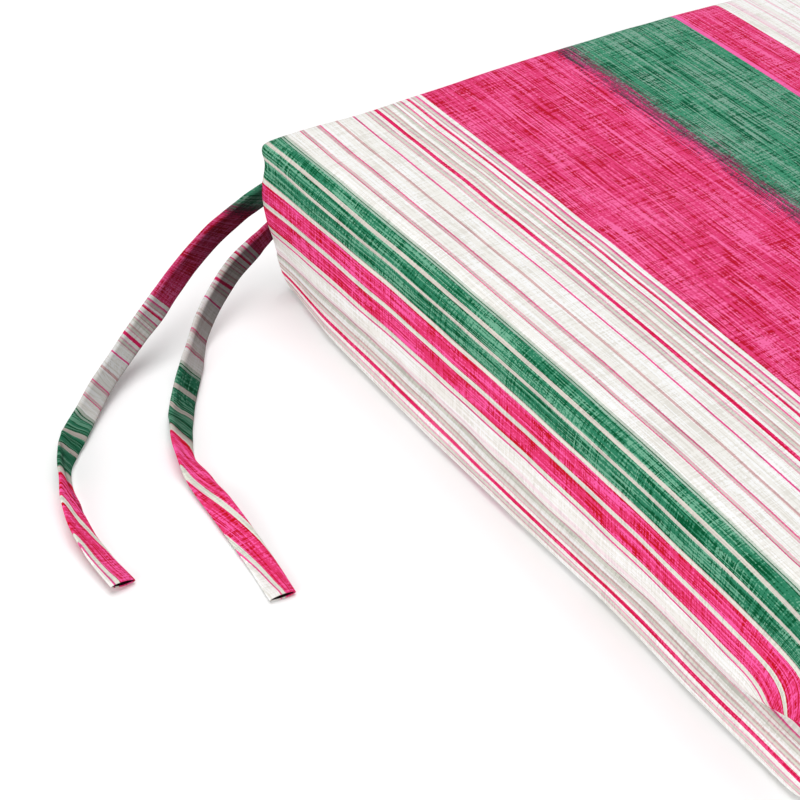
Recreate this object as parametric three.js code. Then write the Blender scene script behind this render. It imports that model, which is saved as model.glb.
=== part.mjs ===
// Square outdoor seat cushion, lying on its underside, with two fabric ties at each back corner.
// Millimetres, +Z up, +Y towards the back edge with the ties, origin at the middle of the underside.

import * as THREE from 'three';
import { mergeVertices } from 'three/addons/utils/BufferGeometryUtils.js';

// Cushion: overall size
const HALF_SIDE = 252;
const CORNER_HEIGHT = 103;
const SEAM_HEIGHT = 29;

// Cushion: how the filling lifts the top panel, at the middle of its edges and of the panel
const SIDE_EDGE_LIFT = 6.5;
const END_EDGE_LIFT = 7.5;
const CROWN = 8.5;
const SWELL_POWER = 2.2;

// Cushion: how far the top of each back corner is pushed up by its seams
const PEAK_LIFT = 3.6;
const PEAK_REACH = 120;
const PEAK_FROM_HEIGHT = 80;

// Cushion: how far the left and right sides draw in, more at the seam of their front halves
const SIDE_DRAW_IN = 9;
const SIDE_DRAW_IN_POWER = 2.4;
const FRONT_SEAM_DRAW_IN = 14;
const FRONT_DRAW_IN_REACH = 150;
const FRONT_DRAW_IN_FADE = 0.1;
const FRONT_FADE_POWER = 5;
const SIDE_BELLY_HEIGHT = 80;

// Cushion: how far the front and back bulge at their middles
const END_BULGE = 5.5;
const END_FOOT_DRAW_IN = 2;

// Cushion: how far the foot of the left and right sides draws in, by place along them
const FOOT_HEIGHT = 4;
const FOOT_LINE = [
  { y: -HALF_SIDE, drawnIn: 11 },
  { y: -222, drawnIn: 10.3 },
  { y: -190, drawnIn: 9.9 },
  { y: -160, drawnIn: 9.3 },
  { y: -130, drawnIn: 10.3 },
  { y: -86, drawnIn: 10.6 },
  { y: -45, drawnIn: 8.5 },
  { y: -9, drawnIn: 6.8 },
  { y: 29, drawnIn: 5.6 },
  { y: 68, drawnIn: 3.9 },
  { y: 110, drawnIn: 3.2 },
  { y: 155, drawnIn: 2.7 },
  { y: 180, drawnIn: 2.9 },
  { y: 200, drawnIn: 3.2 },
  { y: 225, drawnIn: 1.4 },
  { y: HALF_SIDE, drawnIn: 0 },
];

// Cushion: the groove of the sewn seam
const SEAM_GROOVE_DEPTH = 1.6;
const SEAM_GROOVE_WIDTH = 3;

// Cushion: roundings
const FRONT_CORNER_RADIUS = 74;
const FRONT_CORNER_FOOT_RADIUS = 20;
const BACK_CORNER_RADIUS = 4;
const SMALLEST_CORNER_RADIUS = 2;
const TOP_FOLD_AT_SIDES = 22;
const TOP_FOLD_AT_BACK = 10;
const TOP_FOLD_AT_BACK_CORNER = 5.5;
const TOP_FOLD_BLEND = 40;
const BOTTOM_FOLD = 9;
const BACK_CORNER_REACH = 70;

// Cushion: how far the back corners stand in from their lines, by height over the underside
const BACK_CORNER_PROFILE = [
  { height: 0, drawnIn: 8.7 },
  { height: 8, drawnIn: 6.9 },
  { height: 18, drawnIn: 4.7 },
  { height: 27, drawnIn: 3.3 },
  { height: 34, drawnIn: 2.8 },
  { height: 50, drawnIn: -0.4 },
  { height: 60, drawnIn: -2 },
  { height: 69, drawnIn: -2.6 },
  { height: 80, drawnIn: -2 },
  { height: 90, drawnIn: -0.2 },
  { height: 97, drawnIn: -2 },
  { height: CORNER_HEIGHT, drawnIn: -1.9 },
];

// Cushion: fineness of the faceted surface
const PANEL_STEPS = 28;
const SIDE_LEVELS = [0, 4, 9, 16, 23, 27.5, SEAM_HEIGHT, 30.5, 34, 43, 54, 66, 78, 87, 93, 98, CORNER_HEIGHT];

// Ties: a flat sewn strip each
const TIE_WIDTH = 15;
const TIE_THICKNESS = 2.8;
const TIE_EDGE_CHAMFER = 1;
const TIE_STEP_LENGTH = 8;
const TIE_STRAIGHT = 5;
const TIE_GAP = 0.3;

// Ties: where each leaves the upright corner seam, and the points that its middle line runs through.
// heading is the way it leaves the seam, in degrees from straight sideways towards the back.
// lean is the strip's tilt in degrees: 90 stands on its edge, 0 lies flat.
const TIES = [
  {
    name: 'tie_left_upper',
    color: 0xd8326f,
    side: -1,
    seamHeight: 67,
    heading: 14,
    route: [
      { x: -265.2, y: 252.4, z: 65, lean: 85 },
      { x: -278, y: 250, z: 61, lean: 78 },
      { x: -292.5, y: 246.2, z: 55.5, lean: 72 },
      { x: -310.8, y: 240.1, z: 46.7, lean: 67 },
      { x: -328.4, y: 232.7, z: 37.8, lean: 57 },
      { x: -343, y: 226, z: 29.8, lean: 37 },
      { x: -357, y: 221.4, z: 21.3, lean: 14 },
      { x: -371.3, y: 214.6, z: 13.6, lean: 4 },
      { x: -387.3, y: 204.4, z: 8.5, lean: 0 },
      { x: -402.8, y: 190.6, z: 5, lean: 0 },
      { x: -416, y: 177, z: 4.8, lean: 10 },
      { x: -426, y: 163.8, z: 7.6, lean: 50 },
      { x: -435.2, y: 149.8, z: 9, lean: 68 },
      { x: -441.2, y: 133.8, z: 9.1, lean: 67 },
      { x: -445.6, y: 116.8, z: 7.3, lean: 45 },
      { x: -448.7, y: 96, z: 5.9, lean: 33 },
      { x: -448.6, y: 72.5, z: 4.7, lean: 22 },
      { x: -446.4, y: 49.6, z: 3.6, lean: 13 },
    ],
  },
  {
    name: 'tie_left_lower',
    color: 0x2f8f63,
    side: -1,
    seamHeight: 41,
    heading: 0,
    route: [
      { x: -263, y: 246, z: 38, lean: 77 },
      { x: -278, y: 241.2, z: 32.5, lean: 69 },
      { x: -293.5, y: 234, z: 24.7, lean: 65 },
      { x: -307, y: 225.7, z: 17, lean: 63 },
      { x: -317.5, y: 216.5, z: 11.5, lean: 60 },
      { x: -325.5, y: 206.5, z: 8, lean: 50 },
      { x: -334, y: 195.5, z: 5.7, lean: 30 },
      { x: -344.5, y: 182, z: 3.1, lean: 7 },
      { x: -356, y: 164.5, z: 2.6, lean: 3 },
      { x: -365, y: 146.5, z: 6, lean: 34 },
      { x: -373.8, y: 124, z: 6.7, lean: 43 },
      { x: -375, y: 101, z: 3.2, lean: 6 },
      { x: -375.4, y: 78.5, z: 4, lean: -14 },
      { x: -376, y: 52, z: 3.4, lean: -10 },
      { x: -376.8, y: 27, z: 2.2, lean: -2 },
      { x: -379, y: 0.5, z: 1.9, lean: 0 },
    ],
  },
  {
    name: 'tie_right_upper',
    color: 0xd8326f,
    side: 1,
    seamHeight: 67,
    heading: 40,
    route: [
      { x: 264, y: 261, z: 65.5, lean: 82 },
      { x: 274, y: 263, z: 59, lean: 70 },
      { x: 284.5, y: 260, z: 49, lean: 58 },
      { x: 293, y: 252, z: 37.5, lean: 46 },
      { x: 299, y: 240.5, z: 26.5, lean: 34 },
      { x: 303, y: 226, z: 17, lean: 24 },
      { x: 305.5, y: 208, z: 9.5, lean: 14 },
      { x: 306.5, y: 188, z: 4.8, lean: 6 },
      { x: 306, y: 166, z: 2.4, lean: 0 },
      { x: 304, y: 142, z: 1.9, lean: 0 },
      { x: 302, y: 116, z: 1.9, lean: 0 },
      { x: 302, y: 90, z: 2.1, lean: 0 },
      { x: 304, y: 64, z: 2, lean: 0 },
      { x: 307, y: 36, z: 1.9, lean: 0 },
      { x: 308, y: 8, z: 1.9, lean: 0 },
    ],
  },
  {
    name: 'tie_right_lower',
    color: 0x2f8f63,
    side: 1,
    seamHeight: 41,
    heading: 30,
    route: [
      { x: 262, y: 257, z: 39.5, lean: 82 },
      { x: 269.5, y: 256, z: 34.5, lean: 70 },
      { x: 276, y: 250, z: 27, lean: 56 },
      { x: 280, y: 240.5, z: 19.5, lean: 42 },
      { x: 281.5, y: 228, z: 13, lean: 30 },
      { x: 281, y: 213, z: 8, lean: 18 },
      { x: 279.5, y: 196, z: 4.4, lean: 8 },
      { x: 278.5, y: 177, z: 2.4, lean: 0 },
      { x: 279, y: 156, z: 1.9, lean: 0 },
      { x: 280, y: 132, z: 1.9, lean: 0 },
      { x: 279.5, y: 107, z: 2, lean: 0 },
      { x: 278, y: 82, z: 1.9, lean: 0 },
      { x: 278, y: 56, z: 1.9, lean: 0 },
      { x: 280, y: 30, z: 1.9, lean: 0 },
    ],
  },
];

// 1 at the middle of an edge, falling to 0 at its ends; along runs from -1 to 1
function swell(along) {
  return 1 - Math.min(1, Math.abs(along)) ** SWELL_POWER;
}

function smoothStep(low, high, value) {
  const t = THREE.MathUtils.clamp((value - low) / (high - low), 0, 1);
  return t * t * (3 - 2 * t);
}

// The rows of a table on either side of a place, and how far the place is between them
function between(rows, key, place) {
  let upper = 1;
  while (upper < rows.length - 1 && rows[upper][key] < place) {
    upper += 1;
  }
  const low = rows[upper - 1];
  const high = rows[upper];
  return { low, high, share: THREE.MathUtils.clamp((place - low[key]) / (high[key] - low[key]), 0, 1) };
}

// How far a back corner stands in from its lines at a height
function cornerInset(height) {
  const { low, high, share } = between(BACK_CORNER_PROFILE, 'height', height);
  return THREE.MathUtils.lerp(low.drawnIn, high.drawnIn, smoothStep(0, 1, share));
}

// 1 at a back corner, falling to 0 along the side that leaves it
function nearBackCorner(y, fromCorner) {
  return y > 0 ? 1 - smoothStep(0, BACK_CORNER_REACH, fromCorner) : 0;
}

// How far the foot of a left or right side stands in at a place along it
function footInset(y) {
  const { low, high, share } = between(FOOT_LINE, 'y', y);
  return THREE.MathUtils.lerp(low.drawnIn, high.drawnIn, share);
}

// How far a left or right side draws in over its foot, at a place along it
function sideDrawIn(y, height) {
  const along = Math.min(1, Math.abs(y) / HALF_SIDE);
  if (y >= 0) {
    return SIDE_DRAW_IN * (1 - along ** SIDE_DRAW_IN_POWER);
  }
  const towardsFront = smoothStep(0, FRONT_DRAW_IN_REACH, -y);
  const atSeam = THREE.MathUtils.lerp(SIDE_DRAW_IN, FRONT_SEAM_DRAW_IN, towardsFront);
  const overSeam = smoothStep(SEAM_HEIGHT, SIDE_BELLY_HEIGHT, height);
  const drawIn = THREE.MathUtils.lerp(atSeam, SIDE_DRAW_IN, overSeam);
  return drawIn * (1 - FRONT_DRAW_IN_FADE * along ** FRONT_FADE_POWER);
}

// The top fold is tight along the back edge and at its corners, and wide along the sides and the front
function topFoldRadius(x, y) {
  const fromCorner = Math.hypot(HALF_SIDE - Math.abs(x), HALF_SIDE - y);
  const atBack = smoothStep(-TOP_FOLD_BLEND, TOP_FOLD_BLEND, y - Math.abs(x));
  const alongEdge = THREE.MathUtils.lerp(TOP_FOLD_AT_SIDES, TOP_FOLD_AT_BACK, atBack);
  const awayFromCorner = smoothStep(0, BACK_CORNER_REACH, fromCorner);
  return THREE.MathUtils.lerp(TOP_FOLD_AT_BACK_CORNER, alongEdge, awayFromCorner);
}

// Bends the square edge between a flat panel and the upright side into a quarter circle.
// fromEdge is the distance in from the side, fromPanel the distance along the side from the panel.
function roundFold(fromEdge, fromPanel, radius) {
  if (fromEdge < radius && fromPanel === 0) {
    const angle = (Math.PI / 4) * (1 - fromEdge / radius);
    return { inset: radius * (1 - Math.sin(angle)), drop: radius * (1 - Math.cos(angle)) };
  }
  if (fromPanel > 0 && fromPanel < radius) {
    const angle = (Math.PI / 4) * (1 + fromPanel / radius);
    return { inset: radius * (1 - Math.sin(angle)), drop: radius * (1 - Math.cos(angle)) };
  }
  return { inset: fromEdge, drop: fromPanel };
}

// Rounds the corner of a square ring of the given half size, seen from above
function roundCorner(x, y, half, radius) {
  const overX = Math.abs(x) - (half - radius);
  const overY = Math.abs(y) - (half - radius);
  if (overX <= 0 || overY <= 0) {
    return [x, y];
  }
  const reach = Math.max(overX, overY);
  const turn = overY <= overX ? (Math.PI / 4) * (overY / overX) : (Math.PI / 4) * (2 - overX / overY);
  const roundedX = half - radius + reach * Math.cos(turn);
  const roundedY = half - radius + reach * Math.sin(turn);
  return [Math.sign(x) * roundedX, Math.sign(y) * roundedY];
}

// The corner rounding seen from above: the front corners are rounder over the seam than at the foot
function cornerRadius(y, height) {
  if (y >= 0) {
    return BACK_CORNER_RADIUS;
  }
  const overFoot = smoothStep(FOOT_HEIGHT, SEAM_HEIGHT, height);
  return THREE.MathUtils.lerp(FRONT_CORNER_FOOT_RADIUS, FRONT_CORNER_RADIUS, overFoot);
}

// The point of the filled cushion for a point on the surface of its square block
function cushionPoint(x, y, z) {
  const ring = Math.max(Math.abs(x), Math.abs(y), 1e-6);
  const upper = z > CORNER_HEIGHT / 2;
  const foldRadius = upper ? topFoldRadius(x, y) : BOTTOM_FOLD;
  const fold = roundFold(HALF_SIDE - ring, upper ? CORNER_HEIGHT - z : z, foldRadius);
  const height = upper ? CORNER_HEIGHT - fold.drop : fold.drop;

  const half = HALF_SIDE - fold.inset;
  const rounding = Math.min(half, Math.max(cornerRadius(y, height) - fold.inset, SMALLEST_CORNER_RADIUS));
  const [planX, planY] = roundCorner((x / ring) * half, (y / ring) * half, half, rounding);
  const alongX = planX / HALF_SIDE;
  const alongY = planY / HALF_SIDE;

  const fromSeam = (height - SEAM_HEIGHT) / SEAM_GROOVE_WIDTH;
  const groove = SEAM_GROOVE_DEPTH * Math.exp(-fromSeam * fromSeam);
  const overFoot = smoothStep(FOOT_HEIGHT, SEAM_HEIGHT, height);
  const corner = cornerInset(height);
  const sideBow = THREE.MathUtils.lerp(footInset(planY), sideDrawIn(planY, height), overFoot);
  const endBow = THREE.MathUtils.lerp(END_FOOT_DRAW_IN, -END_BULGE, overFoot) * swell(alongX);
  const insetX = groove + sideBow + corner * nearBackCorner(y, HALF_SIDE - Math.abs(planY));
  const insetY = groove + endBow + corner * nearBackCorner(y, HALF_SIDE - Math.abs(planX));

  const sideEdge = SIDE_EDGE_LIFT * swell(alongY);
  const endEdge = END_EDGE_LIFT * swell(alongX);
  const middle = (CROWN - SIDE_EDGE_LIFT - END_EDGE_LIFT) * swell(alongX) * swell(alongY);
  const fromBackCorner = Math.hypot(HALF_SIDE - Math.abs(planX), HALF_SIDE - planY);
  const nearPeak = 1 - smoothStep(0, PEAK_REACH, fromBackCorner);
  const peak = PEAK_LIFT * nearPeak * smoothStep(PEAK_FROM_HEIGHT, CORNER_HEIGHT, height);
  const lift = smoothStep(SEAM_HEIGHT, CORNER_HEIGHT, height) * (sideEdge + endEdge + middle) + peak;
  const finalX = planX * (1 - (insetX / HALF_SIDE) * alongX * alongX);
  const finalY = planY * (1 - (insetY / HALF_SIDE) * alongY * alongY);
  return new THREE.Vector3(finalX, finalY, height + lift);
}

// One closed filled body: a block with even panels and chosen side levels, moved to the cushion's shape
function makeCushion() {
  const side = 2 * HALF_SIDE;
  const levels = SIDE_LEVELS.length - 1;
  const block = new THREE.BoxGeometry(side, side, levels, PANEL_STEPS, PANEL_STEPS, levels);
  block.deleteAttribute('normal');
  block.deleteAttribute('uv');
  const geometry = mergeVertices(block, 1e-3);
  const position = geometry.getAttribute('position');
  for (let i = 0; i < position.count; i += 1) {
    const level = Math.round(position.getZ(i) + levels / 2);
    const point = cushionPoint(position.getX(i), position.getY(i), SIDE_LEVELS[level]);
    position.setXYZ(i, point.x, point.y, point.z);
  }
  geometry.computeVertexNormals();
  return geometry;
}

// The flat strip's section, eight-sided, with its width along X
function tieSection() {
  const wide = TIE_WIDTH / 2;
  const thick = TIE_THICKNESS / 2;
  const outline = [
    [wide, -thick + TIE_EDGE_CHAMFER],
    [wide, thick - TIE_EDGE_CHAMFER],
    [wide - TIE_EDGE_CHAMFER, thick],
    [-wide + TIE_EDGE_CHAMFER, thick],
    [-wide, thick - TIE_EDGE_CHAMFER],
    [-wide, -thick + TIE_EDGE_CHAMFER],
    [-wide + TIE_EDGE_CHAMFER, -thick],
    [wide - TIE_EDGE_CHAMFER, -thick],
  ];
  return new THREE.Shape(outline.map(([across, through]) => new THREE.Vector2(across, through)));
}

// The faceted cushion's upright corner seam at a height
function cornerSeam(side, height) {
  let upper = 1;
  while (SIDE_LEVELS[upper] < height) {
    upper += 1;
  }
  const low = SIDE_LEVELS[upper - 1];
  const high = SIDE_LEVELS[upper];
  const below = cushionPoint(side * HALF_SIDE, HALF_SIDE, low);
  const above = cushionPoint(side * HALF_SIDE, HALF_SIDE, high);
  return below.lerp(above, (height - low) / (high - low));
}

// The tie's first point: its upright end stands against the part of the corner seam that is furthest out
function tieStart(tie) {
  const heading = THREE.MathUtils.degToRad(tie.heading);
  const outwards = new THREE.Vector3(tie.side * Math.cos(heading), Math.sin(heading), 0);
  const start = new THREE.Vector3();
  for (let share = -1; share <= 1; share += 0.125) {
    const height = tie.seamHeight + share * (TIE_WIDTH / 2);
    const corner = cornerSeam(tie.side, height).setZ(0);
    if (corner.dot(outwards) > start.dot(outwards)) {
      start.copy(corner);
    }
  }
  start.addScaledVector(outwards, TIE_GAP).setZ(tie.seamHeight);
  return { start, outwards };
}

// A straight strip of the route's length, bent along the route and turned by its lean
function makeTie(tie) {
  const { start, outwards } = tieStart(tie);
  const points = [start, start.clone().addScaledVector(outwards, TIE_STRAIGHT)];
  const leans = [90, 88];
  for (const row of tie.route) {
    points.push(new THREE.Vector3(row.x, row.y, row.z));
    leans.push(row.lean);
  }
  const curve = new THREE.CatmullRomCurve3(points, false, 'centripetal');
  const length = curve.getLength();
  const steps = Math.round(length / TIE_STEP_LENGTH);
  const strip = new THREE.ExtrudeGeometry(tieSection(), { depth: length, steps, bevelEnabled: false });
  strip.deleteAttribute('normal');
  strip.deleteAttribute('uv');
  const geometry = mergeVertices(strip, 1e-3);
  const position = geometry.getAttribute('position');
  const up = new THREE.Vector3(0, 0, 1);
  for (let i = 0; i < position.count; i += 1) {
    const share = THREE.MathUtils.clamp(position.getZ(i) / length, 0, 1);
    const along = curve.getUtoTmapping(share) * (points.length - 1);
    const row = Math.min(Math.floor(along), points.length - 2);
    const blend = smoothStep(0, 1, along - row);
    const lean = THREE.MathUtils.degToRad(leans[row] + (leans[row + 1] - leans[row]) * blend);
    const middle = curve.getPointAt(share);
    const tangent = share === 0 ? outwards.clone() : curve.getTangentAt(share);
    const level = new THREE.Vector3().crossVectors(tangent, up).normalize();
    const upright = new THREE.Vector3().crossVectors(level, tangent);
    if (tie.side > 0) {
      level.negate();
    }
    const across = level.clone().multiplyScalar(Math.cos(lean)).addScaledVector(upright, Math.sin(lean));
    const through = new THREE.Vector3().crossVectors(tangent, across);
    middle.addScaledVector(across, position.getX(i)).addScaledVector(through, position.getY(i));
    position.setXYZ(i, middle.x, middle.y, middle.z);
  }
  geometry.computeVertexNormals();
  return geometry;
}

function fabric(color) {
  return new THREE.MeshStandardMaterial({ color, roughness: 0.9, metalness: 0 });
}

const seatCushion = new THREE.Group();

const cushion = new THREE.Mesh(makeCushion(), fabric(0xe0336b));
cushion.name = 'cushion';
seatCushion.add(cushion);

for (const tie of TIES) {
  const strip = new THREE.Mesh(makeTie(tie), fabric(tie.color));
  strip.name = tie.name;
  seatCushion.add(strip);
}

export default seatCushion;
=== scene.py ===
"""Square outdoor seat cushion in striped woven cloth, with two tie strips at each back corner.

The tables are in millimetres, in the frame of the CAD model: +Z up, +Y towards the back edge with
the ties, origin at the middle of the underside. Each finished mesh is scaled to metres.
"""

import math

import bmesh
import bpy
from mathutils import Matrix, Vector, noise


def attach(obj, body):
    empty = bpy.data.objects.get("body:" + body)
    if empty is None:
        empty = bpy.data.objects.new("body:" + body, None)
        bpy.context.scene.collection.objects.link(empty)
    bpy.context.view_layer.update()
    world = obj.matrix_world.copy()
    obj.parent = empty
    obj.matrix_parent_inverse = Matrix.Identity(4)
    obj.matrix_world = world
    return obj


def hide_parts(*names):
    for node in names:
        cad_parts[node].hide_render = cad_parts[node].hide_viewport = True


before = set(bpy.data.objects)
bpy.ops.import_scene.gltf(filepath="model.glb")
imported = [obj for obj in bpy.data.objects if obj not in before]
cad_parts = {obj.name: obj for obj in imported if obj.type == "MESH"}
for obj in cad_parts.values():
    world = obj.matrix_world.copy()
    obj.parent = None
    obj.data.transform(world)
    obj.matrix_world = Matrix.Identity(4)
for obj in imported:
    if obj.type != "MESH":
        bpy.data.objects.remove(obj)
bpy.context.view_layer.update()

# ---------------------------------------------------------------------------------------------
# Camera: it stands over the cushion's left side and looks down on its back left corner, so the
# front, the right side and most of the back are cropped off, and both left ties are in view.
# ---------------------------------------------------------------------------------------------

MM = 0.001
CAMERA_PLACE = Vector((-700.4, -625.0, 692.1))
CAMERA_RIGHT = Vector((0.85195, -0.52353, 0.00993))
CAMERA_DOWN = Vector((-0.31976, -0.53519, -0.78187))
CAMERA_FORWARD = Vector((0.41465, 0.66294, -0.62336))
CAMERA_LENS = 85.0
CAMERA_SENSOR = 36.0
CAMERA_CLIP = (0.05, 50.0)

camera_data = bpy.data.cameras.new("camera")
camera_data.lens = CAMERA_LENS
camera_data.sensor_width = CAMERA_SENSOR
camera_data.clip_start, camera_data.clip_end = CAMERA_CLIP
camera = bpy.data.objects.new("camera", camera_data)
turn = Matrix((CAMERA_RIGHT, -CAMERA_DOWN, -CAMERA_FORWARD)).transposed()
camera.matrix_world = Matrix.LocRotScale(CAMERA_PLACE * MM, turn.to_quaternion(), None)
bpy.context.collection.objects.link(camera)
bpy.context.scene.camera = camera

# ---------------------------------------------------------------------------------------------
# Ties: strips of the cushion's own striped cloth, about 330 mm long and 15 mm wide. Each is folded
# to a flat tube, topstitched along its middle, and caught at one end in an upright corner seam.
# The free ends are cut across and left open.
# ---------------------------------------------------------------------------------------------

TIE_WIDTH = 15.0
TIE_EDGE_THICKNESS = 2.8
TIE_MIDDLE_THICKNESS = 2.0
TIE_STRAIGHT = 5.0
TIE_SEWN_LEAN = 90.0
TIE_LEAVING_LEAN = 86.0
TIE_RING_SPACING = 2.2
STEPS_BETWEEN_POINTS = 12
TIE_COLUMNS = (-0.5, -0.46, -0.38, -0.24, -0.10, -0.04, 0.04, 0.10, 0.24, 0.38, 0.46, 0.5)
TIE_EDGE_ROUNDING = 0.42
TIE_EDGE_ROUNDING_POWER = 9
TIE_EDGE_SWELL_POWER = 3
STITCH_PITCH = 4.6
STITCH_DEPTH = 0.35
STITCH_HALF_WIDTH = 0.1
TIE_RIPPLE = 0.35
TIE_RIPPLE_LENGTH = 17.0
TIE_RIPPLE_ACROSS = 2.2
TIE_RIPPLE_SEED = 3.0
TIE_RIPPLE_SIDE_SEED = 5
TIE_OPEN_END_WALL = 0.5
TIE_OPEN_END_EDGE = 0.1
TIE_OPEN_END_DEPTH = 5.0
TIE_OPEN_END_FLATTENED = 0.35
SEWN_END_REACH = 5.0

# Where each tie leaves its corner seam, and the route of its middle line. A row is x, y, z and the
# strip's lean in degrees: 90 stands on its edge, 0 lies flat. The routes are the CAD model's, but
# for the first points of the left ties, which are up to 2.4 mm higher or lower.
TIES = [
    {
        "name": "tie_left_upper", "side": -1, "start": (-253.38, 251.84, 69.4),
        "route": [
            (-265.2, 252.4, 64.1, 85), (-278, 250, 59.8, 78), (-292.5, 246.2, 54.9, 72),
            (-310.8, 240.1, 46.7, 67), (-328.4, 232.7, 37.8, 57), (-343, 226, 29.8, 37),
            (-357, 221.4, 21.3, 14), (-371.3, 214.6, 13.6, 4), (-387.3, 204.4, 8.5, 0),
            (-402.8, 190.6, 5, 0), (-416, 177, 4.8, 10), (-426, 163.8, 7.6, 50),
            (-435.2, 149.8, 9, 68), (-441.2, 133.8, 9.1, 67), (-445.6, 116.8, 7.3, 45),
            (-448.7, 96, 5.9, 33), (-448.6, 72.5, 4.7, 22), (-446.4, 49.6, 3.6, 13),
        ],
    },
    {
        "name": "tie_left_lower", "side": -1, "start": (-251.36, 251.0, 41.0),
        "route": [
            (-263, 246, 38, 77), (-278, 241.2, 32.5, 69), (-293.5, 234, 24.7, 65),
            (-307, 225.7, 17, 63), (-317.5, 216.5, 11.5, 60), (-325.5, 206.5, 8, 50),
            (-334, 195.5, 5.7, 30), (-344.5, 182, 3.1, 7), (-356, 164.5, 2.6, 3),
            (-365, 146.5, 6, 34), (-373.8, 124, 6.7, 43), (-375, 101, 3.2, 6),
            (-375.4, 78.5, 4, -14), (-376, 52, 3.4, -10), (-376.8, 27, 2.2, -2),
            (-379, 0.5, 1.9, 0),
        ],
    },
    {
        "name": "tie_right_upper", "side": 1, "start": (253.0, 253.0, 67.0),
        "route": [
            (264, 261, 65.5, 82), (274, 263, 59, 70), (284.5, 260, 49, 58), (293, 252, 37.5, 46),
            (299, 240.5, 26.5, 34), (303, 226, 17, 24), (305.5, 208, 9.5, 14),
            (306.5, 188, 4.8, 6), (306, 166, 2.4, 0), (304, 142, 1.9, 0), (302, 116, 1.9, 0),
            (302, 90, 2.1, 0), (304, 64, 2, 0), (307, 36, 1.9, 0), (308, 8, 1.9, 0),
        ],
    },
    {
        "name": "tie_right_lower", "side": 1, "start": (251.3, 251.2, 41.0),
        "route": [
            (262, 257, 39.5, 82), (269.5, 256, 34.5, 70), (276, 250, 27, 56),
            (280, 240.5, 19.5, 42), (281.5, 228, 13, 30), (281, 213, 8, 18),
            (279.5, 196, 4.4, 8), (278.5, 177, 2.4, 0), (279, 156, 1.9, 0), (280, 132, 1.9, 0),
            (279.5, 107, 2, 0), (278, 82, 1.9, 0), (278, 56, 1.9, 0), (280, 30, 1.9, 0),
        ],
    },
]

# The cloth is a common awning stripe, woven about 480 mm wide before it repeats. A yarn's row is
# the colour of most of its threads, of its dark slubs and of its light ones.
YARNS = {
    "white": ("e3e1dc", "d6d3cc", "ebebeb"),
    "faint_pink": ("e4d3d7", "d7c7cb", "e9d9dc"),
    "blush": ("c3bcb3", "b4ada5", "cec7bd"),
    "cool_grey": ("d3d4c8", "c3c4b9", "dcddd0"),
    "beige": ("cacabf", "bbbbb1", "d4d4c9"),
    "soft_pink": ("d793ab", "c3859b", "e9a0ba"),
    "petal": ("e2bfca", "d2b0bb", "eac9d3"),
    "grey_green": ("b5bdb2", "a6aea3", "c0c8bd"),
    "dull_pink": ("d2a0ac", "bf919c", "e1adb9"),
    "dusty": ("c5a2a2", "b59494", "d2acac"),
    "rose": ("dc538d", "c44a7e", "eb5b99"),
    "dull_rose": ("d3668c", "be5a7d", "e4709a"),
    "crimson": ("d62060", "c01237", "e2497f"),
    "green_hair": ("145f3d", "0c4f31", "1f6f4b"),
    "pale_green": ("95ad9e", "869d8f", "a2baab"),
    "pink": ("d53a6e", "b3122b", "e8659b"),
    "pink_narrow": ("d63266", "b80a15", "eb5a9e"),
    "bright_pink": ("eb62a3", "d55893", "eb69ad"),
    "green": ("2a7456", "004b2b", "6aa287"),
    "sage": ("3d8768", "0a5236", "799f8d"),
    "green_shade": ("556b5e", "355245", "847a7f"),
    "dark_shade": ("6e3f4f", "482e3c", "963e63"),
    "pink_shade": ("a8375f", "6f2343", "c8467d"),
}

# The stripe from one edge of the repeat to the other: where each yarn starts, in millimetres from
# the fold between the top and the left side.
STRIPES = [
    (-80, "white"), (-71.2, "faint_pink"), (-68.2, "white"), (-57.8, "rose"), (-56.3, "cool_grey"),
    (-53.2, "pink_narrow"), (-41.1, "cool_grey"), (-37.9, "pink_narrow"), (-26.2, "cool_grey"),
    (-23.5, "dusty"), (-22.9, "green"), (-12, "blush"), (-9.7, "green"), (-0.5, "blush"),
    (2.3, "green"), (10.9, "pale_green"), (12.3, "green_hair"), (13.2, "grey_green"),
    (15.2, "white"), (24.8, "dull_rose"), (25.9, "blush"), (26.7, "dull_pink"), (27.8, "white"),
    (36.2, "dull_pink"), (37.1, "blush"), (37.9, "dull_rose"), (39, "white"), (48.3, "dusty"),
    (50, "white"), (60.1, "rose"), (61.2, "white"), (68.8, "dull_pink"), (69.8, "beige"),
    (71.6, "soft_pink"), (72.5, "white"), (75.1, "crimson"), (77.8, "white"), (80, "dull_pink"),
    (80.8, "beige"), (82.6, "dusty"), (83.8, "white"), (86.7, "beige"), (88.5, "dull_pink"),
    (89.6, "white"), (91.2, "dusty"), (92.1, "beige"), (93.6, "dusty"), (94.1, "rose"),
    (95.1, "white"), (98.6, "crimson"), (100.2, "soft_pink"), (100.6, "white"),
    (102.1, "dull_pink"), (103.1, "beige"), (104.6, "dull_pink"), (105.2, "rose"),
    (106.6, "white"), (109.4, "pink"), (213, "pink_shade"), (217, "dark_shade"),
    (222.5, "green_shade"), (227.5, "sage"), (309.2, "bright_pink"), (312.6, "pink"),
    (346.9, "white"), (354.9, "petal"), (356.4, "faint_pink"), (359.2, "white"),
    (367.4, "petal"), (368.9, "white"), (370.4, "faint_pink"), (372, "white"),
    (379.8, "petal"), (381.4, "white"), (393, "petal"), (394.2, "white"),
]
REPEAT_START = -80.0
REPEAT = 480.0
RAMP_STARTS = (-80.0, -12.5, 49.0, 111.0, 345.0, 400.0)
EDGE_WOBBLE = 0.35
EDGE_WOBBLE_SIZE = (6.0, 1.3)

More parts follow.
